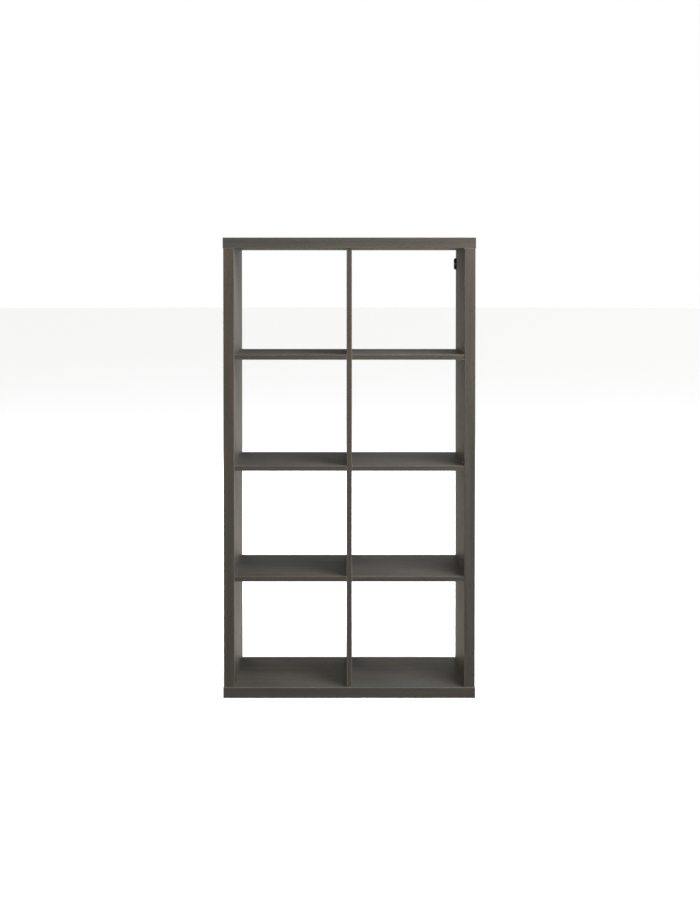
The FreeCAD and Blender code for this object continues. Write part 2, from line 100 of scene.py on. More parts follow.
class Bench:
    """Lays nodes out in one tree and wires them together."""

    def __init__(self, tree: bpy.types.NodeTree) -> None:
        """Keeps the tree that the nodes go into."""
        self.tree = tree

    def give(self, socket: Socket, value: object) -> None:
        """Links an input, or sets it.

        Args:
            socket: The input.
            value: Socket, number, vector or colour; a colour gets full alpha.
        """
        if isinstance(value, Socket):
            self.tree.links.new(value, socket)
        elif socket.type == "RGBA":
            socket.default_value = (*value, 1.0)
        else:
            socket.default_value = value

    def node(self, kind: str, inputs: dict | None = None, **settings: object) -> bpy.types.Node:
        """Adds one node.

        Args:
            kind: Blender's type name of the node.
            inputs: Value or socket for each input, by name or number.
            settings: Attributes of the node.

        Returns:
            The new node.
        """
        made = self.tree.nodes.new(kind)
        for key, value in settings.items():
            setattr(made, key, value)
        for key, value in (inputs or {}).items():
            self.give(made.inputs[key], value)
        return made

    def math(self, operation: str, first: object, second: object = 0.0,
             clamp: bool = False) -> Socket:
        """Result of one math operation on numbers or sockets."""
        settings = {"operation": operation, "use_clamp": clamp}
        return self.node("ShaderNodeMath", {0: first, 1: second}, **settings).outputs[0]

    def vector_math(self, operation: str, first: object, second: object = (0, 0, 0)) -> Socket:
        """Result of one operation on vectors or sockets."""
        made = self.node("ShaderNodeVectorMath", {0: first, 1: second}, operation=operation)
        return made.outputs[0]

    def parts(self, vector: Socket) -> bpy.types.NodeOutputs:
        """The vector's X, Y and Z."""
        return self.node("ShaderNodeSeparateXYZ", {"Vector": vector}).outputs

    def spread(self, value: Socket, low: float, high: float, to_low: object = 0.0,
               to_high: object = 1.0) -> Socket:
        """Smooth step of value between low and high, put out between to_low and to_high."""
        inputs = {"Value": value, "From Min": low, "From Max": high,
                  "To Min": to_low, "To Max": to_high}
        made = self.node("ShaderNodeMapRange", inputs, interpolation_type="SMOOTHSTEP")
        return made.outputs["Result"]

    def noise(self, vector: Socket, seed: object, scale: float, detail: float = 2.0,
              rough: float = 0.5) -> Socket:
        """Four-dimensional noise between 0 and 1, its fourth coordinate the seed."""
        inputs = {"Vector": vector, "W": seed, "Scale": scale, "Detail": detail,
                  "Roughness": rough}
        return self.node("ShaderNodeTexNoise", inputs, noise_dimensions="4D").outputs["Fac"]

    def drawn_noise(self, vector: Socket, stretch: Triple, seed: object, detail: float = 2.0,
                    rough: float = 0.5) -> Socket:
        """Noise with its own scale along each axis of the vector."""
        drawn = self.vector_math("MULTIPLY", vector, stretch)
        return self.noise(drawn, seed, 1.0, detail, rough)

    def blend(self, factor: object, first: object, second: object,
              mode: str = "MIX") -> Socket:
        """Puts two colours together.

        Args:
            factor: Share of the second colour.
            first: Colour or socket where the factor is 0.
            second: Colour or socket where the factor is 1.
            mode: Blender's name for the way they are blended.

        Returns:
            The colour between them.
        """
        made = self.node("ShaderNodeMix", data_type="RGBA", blend_type=mode)
        sockets = {one.identifier: one for one in (*made.inputs, *made.outputs)}
        for name, value in (("Factor_Float", factor), ("A_Color", first), ("B_Color", second)):
            self.give(sockets[name], value)
        return sockets["Result_Color"]

    def laid_over(self, ground: Socket, colour: Colour, mask: Socket, strength: float) -> Socket:
        """The ground with a colour over it where the mask is, as strongly as given."""
        return self.blend(self.math("MULTIPLY", mask, strength), ground, colour)

    def effect(self, group: bpy.types.NodeTree, inputs: dict) -> bpy.types.NodeOutputs:
        """Outputs of a node group that is placed here and fed."""
        return self.node("ShaderNodeGroup", inputs, node_tree=group).outputs


@dataclass(frozen=True)
class Effects:
    """Node groups that more than one finish uses, each built once.

    A stretch is a pattern's scale along each axis. A range is the part of a pattern's values
    that is drawn out between 0 and 1.
    """

    wander_stretch: Triple = (1.6, 5.0, 5.0)
    wander_reach: float = 0.05
    streak_stretch: Triple = (1.3, 48.0, 48.0)
    streak_range: Range = (0.32, 0.68)
    line_stretch: Triple = (5.0, 420.0, 420.0)
    line_range: Range = (0.35, 0.65)
    pore_stretch: Triple = (60.0, 1500.0, 1500.0)
    pore_range: Range = (0.62, 0.72)
    facing_up: Range = (0.5, 0.95)
    drift_scale: float = 7.0
    drift_range: Range = (0.3, 0.75)
    drift_share: float = 0.6
    speck_scale: float = 900.0
    speck_range: Range = (0.6, 0.8)
    cloud_scale: float = 4.5
    wipe_stretch: Triple = (3.0, 26.0, 26.0)
    wipe_range: Range = (0.35, 0.65)

    @staticmethod
    def _start(name: str, vectors: tuple[str, ...], numbers: tuple[str, ...],
               masks: tuple[str, ...]) -> tuple:
        """Opens a group.

        Args:
            name: Name of the group.
            vectors: Names of the inputs that are vectors.
            numbers: Names of the inputs that are numbers.
            masks: Names of the outputs.

        Returns:
            The group's bench, the sockets of its inputs and those of its outputs.
        """
        group = bpy.data.node_groups.new(name, "ShaderNodeTree")
        for names, way, kind in ((vectors, "INPUT", "Vector"), (numbers, "INPUT", "Float"),
                                 (masks, "OUTPUT", "Float")):
            for one in names:
                group.interface.new_socket(one, in_out=way, socket_type=f"NodeSocket{kind}")
        bench = Bench(group)
        return bench, bench.node("NodeGroupInput").outputs, bench.node("NodeGroupOutput").inputs

    @cached_property
    def grain(self) -> bpy.types.NodeTree:
        """Straight wood grain along the vector's X: broad streaks, fine lines and pores."""
        bench, given, out = self._start(
            "straight_grain", ("Vector",), ("Seed",), ("Streaks", "Lines", "Pores"))
        vector, seed = given["Vector"], given["Seed"]
        wander = bench.drawn_noise(vector, self.wander_stretch, seed, detail=1.0)
        sway = bench.math("MULTIPLY", bench.math("SUBTRACT", wander, 0.5), self.wander_reach)
        shift = bench.node("ShaderNodeCombineXYZ", {"Y": sway, "Z": sway}).outputs[0]
        swayed = bench.vector_math("ADD", vector, shift)
        streaks = bench.drawn_noise(swayed, self.streak_stretch, seed, detail=5.0, rough=0.62)
        lines = bench.drawn_noise(swayed, self.line_stretch, seed, rough=0.6)
        pores = bench.drawn_noise(swayed, self.pore_stretch, seed, detail=0.0)
        bench.give(out["Streaks"], bench.spread(streaks, *self.streak_range))
        bench.give(out["Lines"], bench.spread(lines, *self.line_range))
        bench.give(out["Pores"], bench.spread(pores, *self.pore_range))
        return bench.tree

    @cached_property
    def arris(self) -> bpy.types.NodeTree:
        """Mask that is 1 on the arrises of a box and 0 further in than a width.

        The distance to each pair of faces is half the size less the offset from the centre.
        On the surface the smallest is nought, so the middle one is the distance to the arris.
        """
        bench, given, out = self._start(
            "arris_distance", ("Vector", "Centre", "Half Size"), ("Width",), ("Mask",))
        offset = bench.vector_math("SUBTRACT", given["Vector"], given["Centre"])
        inside = bench.vector_math(
            "SUBTRACT", given["Half Size"], bench.vector_math("ABSOLUTE", offset))
        parts = bench.parts(inside)
        low = bench.math("MINIMUM", parts["X"], parts["Y"])
        high = bench.math("MAXIMUM", parts["X"], parts["Y"])
        middle = bench.math("MAXIMUM", low, bench.math("MINIMUM", high, parts["Z"]))
        share = bench.math("DIVIDE", middle, given["Width"])
        bench.give(out["Mask"], bench.math("SUBTRACT", 1.0, share, clamp=True))
        return bench.tree

    @cached_property
    def dust(self) -> bpy.types.NodeTree:
        """Patchy settled dust on faces that look up."""
        bench, given, out = self._start(
            "settled_dust", ("Vector", "Normal"), ("Seed",), ("Mask",))
        vector, seed = given["Vector"], given["Seed"]
        upward = bench.spread(bench.parts(given["Normal"])["Z"], *self.facing_up)
        drifts = bench.spread(
            bench.noise(vector, seed, self.drift_scale, 3.0, 0.6), *self.drift_range)
        specks = bench.spread(
            bench.noise(vector, seed, self.speck_scale, 1.0), *self.speck_range)
        cover = bench.math(
            "ADD", bench.math("MULTIPLY", drifts, self.drift_share), specks, clamp=True)
        bench.give(out["Mask"], bench.math("MULTIPLY", cover, upward))
        return bench.tree

    @cached_property
    def handling(self) -> bpy.types.NodeTree:
        """Slow uneven sheen, as left by wiping and touching."""
        bench, given, out = self._start("handling_marks", ("Vector",), ("Seed",), ("Mask",))
        vector, seed = given["Vector"], given["Seed"]
        cloudy = bench.noise(vector, seed, self.cloud_scale, 3.0, 0.55)
        strokes = bench.drawn_noise(vector, self.wipe_stretch, seed, rough=0.6)
        both = bench.math("MULTIPLY", bench.math("ADD", cloudy, strokes), 0.5)
        bench.give(out["Mask"], bench.spread(both, *self.wipe_range))
        return bench.tree


EFFECTS = Effects()


@dataclass(frozen=True)
class Block:
    """Box of a piece, for patterns that follow its arrises."""

    low: Vector
    high: Vector

    @staticmethod
    def around(*nodes: str) -> "Block":
        """Measures the box that holds some nodes.

        Args:
            nodes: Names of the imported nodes.

        Returns:
            Their box.
        """
        boxes = [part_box(node) for node in nodes]
        low = Vector(min(box[0][axis] for box in boxes) for axis in range(3))
        high = Vector(max(box[1][axis] for box in boxes) for axis in range(3))
        return Block(low, high)

    @property
    def centre(self) -> Vector:
        """Middle of the box."""
        return (self.low + self.high) / 2

    @property
    def half_size(self) -> Vector:
        """Half the box's size along each axis."""
        return (self.high - self.low) / 2


# Finishes


class Coat(Bench):
    """Bench of one material, with its Principled shader and the object coordinates."""

    def __init__(self, name: str) -> None:
        """Opens the material.

        Args:
            name: Name of the material.
        """
        self.material = bpy.data.materials.new(name)
        self.material.use_nodes = True
        self.material.node_tree.nodes.clear()
        super().__init__(self.material.node_tree)
        self.shader = self.node("ShaderNodeBsdfPrincipled")
        self.node("ShaderNodeOutputMaterial", {"Surface": self.shader.outputs["BSDF"]},
                  is_active_output=True)
        self.place = self.node("ShaderNodeTexCoord").outputs["Object"]

    @cached_property
    def normal(self) -> Socket:
        """Normal of the flat face."""
        return self.node("ShaderNodeNewGeometry").outputs["True Normal"]

    def along(self, run: Run) -> Socket:
        """Reads the object coordinates in another order.

        Args:
            run: Direction of the grain.

        Returns:
            The coordinates with the grain's direction first.
        """
        parts = self.parts(self.place)
        order = {key: parts[axis] for key, axis in zip("XYZ", run.value)}
        return self.node("ShaderNodeCombineXYZ", order).outputs[0]

    def arrises(self, block: Block, width: float) -> Socket:
        """Mask of the block's arrises, which fades out over a width."""
        inputs = {"Vector": self.place, "Centre": block.centre,
                  "Half Size": block.half_size, "Width": width}
        return self.effect(EFFECTS.arris, inputs)["Mask"]

    def finished(self, colour: Socket, rough: Socket, height: Socket, relief: float,
                 strength: float) -> bpy.types.Material:
        """Wires what changes over the surface into the shader.

        Args:
            colour: Base colour.
            rough: Roughness.
            height: Height of the surface, in units of the relief.
            relief: Depth of the surface's relief.
            strength: How much of the tilt is kept.

        Returns:
            The finished material.
        """
        inputs = {"Height": height, "Distance": relief, "Strength": strength}
        normal = self.node("ShaderNodeBump", inputs).outputs["Normal"]
        for name, value in (("Base Color", colour), ("Roughness", rough), ("Normal", normal)):
            self.give(self.shader.inputs[name], value)
        return self.material


@dataclass(frozen=True)
class WoodFoil:
    """Dark grey-brown wood-effect foil with a satin, faintly pored face."""

    ground: Colour = (0.036, 0.0305, 0.0235)
    streak: Colour = (0.053, 0.045, 0.0345)
    line_share: float = 0.35
    cool_tone: Colour = (0.93, 0.98, 1.03)
    warm_tone: Colour = (1.05, 0.99, 0.92)
    tone_stretch: Triple = (1.4, 9.0, 9.0)
    tone_range: Range = (0.35, 0.65)
    pore: Colour = (0.021, 0.0175, 0.0135)
    pore_strength: float = 0.7
    pore_roughness: float = 0.12
    worn: Colour = (0.20, 0.18, 0.155)
    wear_width: float = 2.4 * MM
    wear_strength: float = 0.45
    least_wear: float = 0.4
    dusty: Colour = (0.20, 0.19, 0.175)
    dust_strength: float = 0.08
    dust_roughness: float = 0.06
    sheen: Range = (0.40, 0.46)
    refraction: float = 1.5
    line_relief: float = 0.4
    relief: float = 0.05 * MM
    relief_strength: float = 0.6
    end_facing: float = 0.7

    def coordinates(self, coat: Coat, run: Run, wraps_ends: bool) -> Socket:
        """Lays the grain along the board, and along the end on end bands.

        Args:
            coat: The foil that is being made.
            run: Direction of the grain.
            wraps_ends: Whether the board's ends are banded too.

        Returns:
            Coordinates with the grain's direction first.
        """
        straight = coat.along(run)
        if not wraps_ends:
            return straight
        ends = coat.math("ABSOLUTE", coat.parts(coat.normal)[run.value[0]])
        on_end = coat.math("GREATER_THAN", ends, self.end_facing)
        return coat.blend(on_end, straight, coat.along(Run.ALONG_Y))

    def material(self, name: str, run: Run, block: Block, seed: float,
                 wraps_ends: bool = False) -> bpy.types.Material:
        """Builds the foil for one board.

        Args:
            name: Name of the board.
            run: Direction of the grain.
            block: Box of the board, whose arrises wear.
            seed: Number that makes this board's figure its own.
            wraps_ends: Whether the board's ends are banded too.

        Returns:
            The finished material.
        """
        coat = Coat(f"{name}_foil")
        vector = self.coordinates(coat, run, wraps_ends)
        grain = coat.effect(EFFECTS.grain, {"Vector": vector, "Seed": seed})
        marks = coat.effect(EFFECTS.handling, {"Vector": vector, "Seed": seed})["Mask"]
        edge = coat.arrises(block, self.wear_width)
        dust = coat.effect(EFFECTS.dust, {
            "Vector": coat.place, "Normal": coat.normal, "Seed": seed})["Mask"]

        streaks = coat.math("MULTIPLY", grain["Streaks"], 1 - self.line_share)
        depth = coat.math(
            "ADD", streaks, coat.math("MULTIPLY", grain["Lines"], self.line_share))
        plain = coat.blend(depth, self.ground, self.streak)
        drift = coat.spread(
            coat.drawn_noise(vector, self.tone_stretch, seed), *self.tone_range)
        tone = coat.blend(drift, self.cool_tone, self.warm_tone)
        figure = coat.blend(1.0, plain, tone, "MULTIPLY")
        pored = coat.laid_over(figure, self.pore, grain["Pores"], self.pore_strength)
        rubbed = coat.math("MULTIPLY", edge, coat.spread(marks, 0.0, 1.0, self.least_wear))
        worn = coat.laid_over(pored, self.worn, rubbed, self.wear_strength)
        veiled = coat.laid_over(worn, self.dusty, dust, self.dust_strength)

        pitted = coat.math("ADD", coat.spread(marks, 0.0, 1.0, *self.sheen),
                           coat.math("MULTIPLY", grain["Pores"], self.pore_roughness))
        rough = coat.math(
            "ADD", pitted, coat.math("MULTIPLY", dust, self.dust_roughness), clamp=True)
        height = coat.math(
            "SUBTRACT", coat.math("MULTIPLY", grain["Lines"], self.line_relief), grain["Pores"])
        coat.shader.inputs["IOR"].default_value = self.refraction
        return coat.finished(veiled, rough, height, self.relief, self.relief_strength)


@dataclass(frozen=True)
class RawBoard:
    """Bare particleboard: pressed flakes in glue, seen on rails."""

    flake_light: Colour = (0.58, 0.43, 0.27)
    flake_dark: Colour = (0.36, 0.25, 0.14)
    flake_scale: float = 320.0
    flake_stretch: Triple = (0.35, 1.0, 1.0)
    glue: Colour = (0.24, 0.17, 0.10)
    glue_range: Range = (0.45, 0.8)
    glue_strength: float = 0.7
    fibre_stretch: Triple = (80.0, 900.0, 900.0)
    fibre_range: Range = (0.2, 0.8)
    fibre_relief: float = 0.5
    roughness: Range = (0.75, 0.92)
    relief: float = 0.25 * MM
    relief_strength: float = 0.8

    def material(self, name: str, run: Run, seed: float) -> bpy.types.Material:
        """Builds the bare board.

        Args:
            name: Name of the piece.
            run: Direction that the flakes lie along.
            seed: Number that makes this piece's figure its own.

        Returns:
            The finished material.
        """
        coat = Coat(f"{name}_raw_board")
        vector = coat.along(run)
        flakes = coat.node("ShaderNodeTexVoronoi", {
            "Vector": coat.vector_math("MULTIPLY", vector, self.flake_stretch), "W": seed,
            "Scale": self.flake_scale}, voronoi_dimensions="4D").outputs
        tone = coat.node("ShaderNodeSeparateColor", {"Color": flakes["Color"]}).outputs["Red"]
        colour = coat.blend(tone, self.flake_dark, self.flake_light)
        gaps = coat.spread(flakes["Distance"], *self.glue_range)
        glued = coat.laid_over(colour, self.glue, gaps, self.glue_strength)
        fibres = coat.drawn_noise(vector, self.fibre_stretch, seed)
        height = coat.math(
            "SUBTRACT", coat.math("MULTIPLY", fibres, self.fibre_relief), gaps)
        rough = coat.spread(fibres, *self.fibre_range, *self.roughness)
        return coat.finished(glued, rough, height, self.relief, self.relief_strength)


@dataclass(frozen=True)
class KraftPaper:
    """Brown kraft paper of the honeycomb, with fibres and glue-darkened patches."""

    paper: Colour = (0.46, 0.32, 0.19)
    shade: Colour = (0.33, 0.22, 0.12)
    shade_scale: float = 22.0
    shade_range: Range = (0.3, 0.7)
    fibre: Colour = (0.60, 0.45, 0.29)
    fibre_stretch: Triple = (900.0, 260.0, 900.0)
    fibre_range: Range = (0.58, 0.75)
    fibre_strength: float = 0.5
    roughness: Range = (0.82, 0.94)
    relief: float = 0.1 * MM
    relief_strength: float = 0.7

    def material(self, name: str, seed: float) -> bpy.types.Material:
        """Builds the paper.

        Args:
            name: Name of the piece.
            seed: Number that makes this piece's figure its own.

        Returns:
            The finished material.
        """
        coat = Coat(f"{name}_kraft_paper")
        patches = coat.noise(coat.place, seed, self.shade_scale, 4.0, 0.6)
        cloud = coat.spread(patches, *self.shade_range)
        threads = coat.drawn_noise(coat.place, self.fibre_stretch, seed)
        fibres = coat.spread(threads, *self.fibre_range)
        ground = coat.blend(cloud, self.shade, self.paper)
        colour = coat.laid_over(ground, self.fibre, fibres, self.fibre_strength)
        rough = coat.spread(cloud, 0.0, 1.0, *self.roughness)
        return coat.finished(colour, rough, fibres, self.relief, self.relief_strength)


@dataclass(frozen=True)
class Beech:
    """Plain beech of the dowels: pale pinkish wood with short darker flecks."""

    pale: Colour = (0.66, 0.47, 0.29)
    warm: Colour = (0.50, 0.32, 0.18)
    fleck: Colour = (0.30, 0.17, 0.09)
    fleck_strength: float = 0.6
    roughness: Range = (0.58, 0.7)
    relief: float = 0.06 * MM
    relief_strength: float = 0.6

    def material(self, name: str, run: Run, seed: float) -> bpy.types.Material:
        """Builds the beech.

        Args:
            name: Name of the dowels.
            run: Direction of the dowels, and of their grain.
            seed: Number that makes these dowels' figure their own.

        Returns:
            The finished material.
        """
        coat = Coat(f"{name}_beech")
        grain = coat.effect(EFFECTS.grain, {"Vector": coat.along(run), "Seed": seed})
        figure = coat.blend(grain["Lines"], self.warm, self.pale)
        colour = coat.laid_over(figure, self.fleck, grain["Pores"], self.fleck_strength)
        rough = coat.spread(grain["Lines"], 0.0, 1.0, *self.roughness)
        return coat.finished(colour, rough, grain["Lines"], self.relief, self.relief_strength)


@dataclass(frozen=True)
class ZincPlate:
    """Bright zinc plating with a faint passivation tint and turning marks."""

    silver: Colour = (0.66, 0.66, 0.65)
    tint: Colour = (0.60, 0.62, 0.68)
    tint_scale: float = 140.0
    tint_range: Range = (0.35, 0.65)
    straw: Colour = (0.68, 0.64, 0.55)
    straw_scale: float = 60.0
    straw_range: Range = (0.5, 0.75)
    straw_strength: float = 0.5
    mark_stretch: Triple = (300.0, 300.0, 4000.0)
    mark_range: Range = (0.2, 0.8)
    roughness: Range = (0.24, 0.42)
    relief: float = 0.02 * MM
    relief_strength: float = 0.5

    def material(self, name: str, seed: float) -> bpy.types.Material:
        """Builds the plated steel.

        Args:
            name: Name of the fittings.
            seed: Number that makes these fittings' figure their own.

        Returns:
            The finished material.
        """
        coat = Coat(f"{name}_zinc")
        cloud = coat.spread(
            coat.noise(coat.place, seed, self.tint_scale, 3.0), *self.tint_range)
        patches = coat.spread(
            coat.noise(coat.place, seed, self.straw_scale), *self.straw_range)
        cool = coat.blend(cloud, self.silver, self.tint)
        colour = coat.laid_over(cool, self.straw, patches, self.straw_strength)
        marks = coat.drawn_noise(coat.place, self.mark_stretch, seed)
        rough = coat.spread(marks, *self.mark_range, *self.roughness)
        coat.shader.inputs["Metallic"].default_value = 1.0
        return coat.finished(colour, rough, marks, self.relief, self.relief_strength)


@dataclass(frozen=True)
class BlackNylon:
    """Moulded black nylon with a fine eroded skin and arrises rubbed paler."""

    black: Colour = (0.024, 0.0235, 0.023)
    grey: Colour = (0.050, 0.049, 0.047)
    grey_scale: float = 90.0
    grey_range: Range = (0.35, 0.65)
    grey_share: float = 0.5
    arris_width: float = 1.2 * MM
    skin_scale: float = 1100.0
    skin_range: Range = (0.3, 0.7)
    roughness: Range = (0.48, 0.62)
    relief: float = 0.08 * MM
    relief_strength: float = 0.5

    def material(self, name: str, block: Block, seed: float) -> bpy.types.Material:
        """Builds the nylon.

        Args:
            name: Name of the moulding.
            block: Box of the moulding, whose arrises are rubbed.
            seed: Number that makes its figure its own.

        Returns:
            The finished material.
        """
        coat = Coat(f"{name}_nylon")
        skin = coat.noise(coat.place, seed, self.skin_scale)
        cloud = coat.spread(coat.noise(coat.place, seed, self.grey_scale), *self.grey_range)
        rubbing = coat.math("MAXIMUM", coat.math("MULTIPLY", cloud, self.grey_share),
                            coat.arrises(block, self.arris_width))
        colour = coat.blend(rubbing, self.black, self.grey)
        rough = coat.spread(skin, *self.skin_range, *self.roughness)
        return coat.finished(colour, rough, skin, self.relief, self.relief_strength)


@dataclass(frozen=True)
class PaleFloor:
    """Plain pale studio floor, lit a little from within so that it stays pale far off."""

    paint: Colour = (0.90, 0.90, 0.895)
    shade: Colour = (0.87, 0.87, 0.865)
    shade_scale: float = 1.2
    roughness: float = 0.7
    specular: float = 0.25
    own_light: float = 0.64
    near_glow: Colour = (0.34, 0.34, 0.34)
    glow_starts_and_ends: Range = (0.5, 3.0)

    def material(self) -> bpy.types.Material:
        """Builds the floor's paint, whose own light grows with distance from the unit.

        Returns:
            The finished material.
        """
        coat = Coat("pale_floor")
        cloud = coat.noise(coat.place, 0.0, self.shade_scale)
        reach = coat.node("ShaderNodeVectorMath", {0: coat.place}, operation="LENGTH")
        lit = coat.spread(reach.outputs["Value"], *self.glow_starts_and_ends)
        for name, value in (
            ("Base Color", coat.blend(cloud, self.paint, self.shade)),
            ("Roughness", self.roughness),
            ("Specular IOR Level", self.specular),
            ("Emission Color", coat.blend(lit, self.near_glow, self.paint)),
            ("Emission Strength", self.own_light),
        ):
            coat.give(coat.shader.inputs[name], value)
        return coat.material


FOIL = WoodFoil()
RAW_BOARD = RawBoard()
PAPER = KraftPaper()
BEECH = Beech()
ZINC = ZincPlate()
NYLON = BlackNylon()


def dress(node: str, material: bpy.types.Material) -> None:
    """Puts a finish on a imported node, in place of the plain one that it came with.

    Args:
        node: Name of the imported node.
        material: The finish.
    """
    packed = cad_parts[node]
    if not packed.material_slots:
        packed.data.materials.append(material)
    for slot in packed.material_slots:
        slot.material = material


# Turned surfaces


@dataclass(frozen=True)
class Surface:
    """Closed surface: points, and the quads and triangles between them."""

    points: np.ndarray
    quads: np.ndarray
    triangles: np.ndarray

    def volume(self) -> float:
        """Adds up the signed tetrahedra from the origin to each face.

        Returns:
            The volume inside, negative where the faces point inwards.
        """
        halves = [self.quads[:, [0, 1, 2]], self.quads[:, [0, 2, 3]], self.triangles]
        corners = self.points[np.concatenate(halves)]
        first, second, third = corners[:, 0], corners[:, 1], corners[:, 2]
        return float(np.einsum("ij,ij->", first, np.cross(second, third)) / 6)

    def outward(self) -> "Surface":
        """The same surface with its faces turned outwards."""
        if self.volume() > 0:
            return self
        return Surface(self.points, self.quads[:, ::-1], self.triangles[:, ::-1])

    def copies(self, feet: np.ndarray, axis: Vector) -> "Surface":
        """Copies of the surface, one standing on each foot.

        Args:
            feet: Place of each copy's local origin, one row each.
            axis: Direction that the surface's own Z is laid along.

        Returns:
            One surface that holds every copy.
        """
        turn = np.array(Vector((0, 0, 1)).rotation_difference(axis).to_matrix())
        laid = self.points @ turn.T
        points = (feet[:, None, :] + laid[None, :, :]).reshape(-1, 3)
        starts = (np.arange(len(feet)) * len(laid))[:, None, None]
        quads = (self.quads[None] + starts).reshape(-1, 4)
        triangles = (self.triangles[None] + starts).reshape(-1, 3)
        return Surface(points, quads, triangles)

    def piece(self, name: str, material: bpy.types.Material) -> bpy.types.Object:
        """Makes the surface an object at the origin, shaded smooth up to its sharp edges.

        Args:
            name: Name of the piece.
            material: Its finish.

        Returns:
            The piece, linked to the scene.
        """
        mesh = bpy.data.meshes.new(name)
        mesh.from_pydata(self.points.tolist(), [], self.quads.tolist() + self.triangles.tolist())
        mesh.polygons.foreach_set("use_smooth", np.ones(len(mesh.polygons), dtype=bool))
        mesh.set_sharp_from_angle(angle=SHARP_ANGLE)
        mesh.materials.append(material)
        made = bpy.data.objects.new(name, mesh)
        bpy.context.scene.collection.objects.link(made)
        return made


def angles(columns: int) -> np.ndarray:
    """Directions of a lathe's columns, as one row."""
    return np.linspace(0, 2 * np.pi, columns, endpoint=False)[None, :]


def rings_round_z(radius: np.ndarray, height: object) -> np.ndarray:
    """Points of rows of rings round the Z axis.

    A point of row i and column j stands at radius[i, j] and height[i, j] in the direction of
    the angle 2 pi j / columns.

    Args:
        radius: Distance from the axis, rows along the profile and columns round it.
        height: Height of each point, the same shape or one that spreads to it.

    Returns:
        The points, ring after ring.
    """
    turn = angles(radius.shape[1])
    level = np.broadcast_to(height, radius.shape)
    grid = np.stack([radius * np.cos(turn), radius * np.sin(turn), level], axis=-1)
    return grid.reshape(-1, 3)


def ring_quads(near: np.ndarray, far: np.ndarray, columns: int) -> np.ndarray:
    """Quads from each near ring to its far ring.

    Args:
        near: Number of the first point of each near ring, as a column.
        far: Number of the first point of each far ring, as a column.
        columns: Number of points on a ring.

    Returns:
        Four point numbers for each quad.
    """
    across = np.arange(columns)
    onward = (across + 1) % columns
    corners = [near + across, near + onward, far + onward, far + across]
    return np.stack(corners, axis=-1).reshape(-1, 4)


def lathe(radius: np.ndarray, height: np.ndarray, hollow: bool = False) -> Surface:
    """Surface carried round the Z axis.

    A solid one is closed by a fan to the axis at its first and last rows, and a hollow one by
    joining its last row to its first.

    Args:
        radius: Distance from the axis, rows along the profile and columns round it.
        height: Height of each point, the same shape or one that spreads to it.
        hollow: Whether the profile closes on itself round a bore.

    Returns:
        The closed surface with its faces outwards.
    """
    rows, columns = radius.shape
    points = rings_round_z(radius, height)
    row = np.arange(rows if hollow else rows - 1)[:, None]
    quads = ring_quads(row * columns, (row + 1) % rows * columns, columns)
    triangles = np.empty((0, 3), dtype=int)
    if not hollow:
        across = np.arange(columns)
        onward = (across + 1) % columns
        first_pole = len(points)
        last_row = (rows - 1) * columns
        level = np.broadcast_to(height, radius.shape)
        poles = np.array([[0, 0, level[0].mean()], [0, 0, level[-1].mean()]])
        points = np.concatenate([points, poles])
        start_fan = np.stack([onward, across, np.full(columns, first_pole)], axis=-1)
        end_fan = np.stack(
            [last_row + across, last_row + onward, np.full(columns, first_pole + 1)], axis=-1)
        triangles = np.concatenate([start_fan, end_fan])
    return Surface(points, quads, triangles).outward()


def thread_ridge(height: np.ndarray, angle: np.ndarray, pitch: float) -> np.ndarray:
    """Height of a helical ridge between 0 and 1.

    The phase is the height in pitches less the angle in turns, and the ridge is a triangle
    wave of that phase, so its crest climbs one pitch in each turn.
    """
    phase = height / pitch - angle / (2 * np.pi)
    return 1 - np.abs(2 * (phase - np.floor(phase)) - 1)


def run_out(height: np.ndarray, length: float, pitch: float) -> np.ndarray:
    """Share of a thread's depth, which fades over its first and its last pitch."""
    return np.clip(height / pitch, 0, 1) * np.clip((length - height) / pitch, 0, 1)


def polygon_radius(angle: np.ndarray, flats: int, apothem: float) -> np.ndarray:
    """Distance from the centre of a regular polygon to its side in each direction.

    It is the apothem over the cosine of the angle from the middle of the nearest flat.
    """
    step = 2 * np.pi / flats
    return apothem / np.cos((angle + step / 2) % step - step / 2)


def cross_radius(angle: np.ndarray, reach: float, half_width: float) -> np.ndarray:
    """Distance from the centre of a cross-shaped recess to its wall in each direction.

    Folded into an eighth of a turn, the wall is the end of an arm while the angle is small
    and the side of the arm after that.

    Args:
        angle: The directions.
        reach: Length of an arm.
        half_width: Half the width of an arm.

    Returns:
        The distance in each direction.
    """
    quarter = np.pi / 2
    folded = np.minimum(angle % quarter, quarter - angle % quarter)
    end = reach / np.cos(folded)
    side = half_width / np.maximum(np.sin(folded), np.finfo(float).tiny)
    return np.minimum(end, side)


# Foiled panels and boards


@dataclass(frozen=True)
class HollowPanel:
    """Board-on-frame panel: foiled skins and bands round rails and a paper honeycomb."""

    name: str
    skins: tuple[str, str]
    inner_rails: str
    run: Run
    wraps_ends: bool
    seed: float

    def node(self, part: str) -> str:
        """Node name of one of the panel's parts."""
        return f"{self.name}_{part}"

    def dress(self) -> None:
        """Foils the outside and finishes the pieces inside."""
        faces = [self.node(f"{skin}_skin") for skin in self.skins] + [self.node("edge_bands")]
        block = Block.around(*faces)
        foil = FOIL.material(self.name, self.run, block, self.seed, self.wraps_ends)
        for face in faces:
            dress(face, foil)
        cross = Run.ALONG_Y
        dress(self.node("long_rails"), RAW_BOARD.material(self.name, self.run, self.seed))
        ends = RAW_BOARD.material(f"{self.name}_end", cross, self.seed)
        dress(self.node("end_rails"), ends)
        dress(self.node(self.inner_rails), ends)
        dress(self.node("honeycomb_core"), PAPER.material(self.name, self.seed))
        LOG.info("%s: foiled, grain %s", self.name, self.run.name)


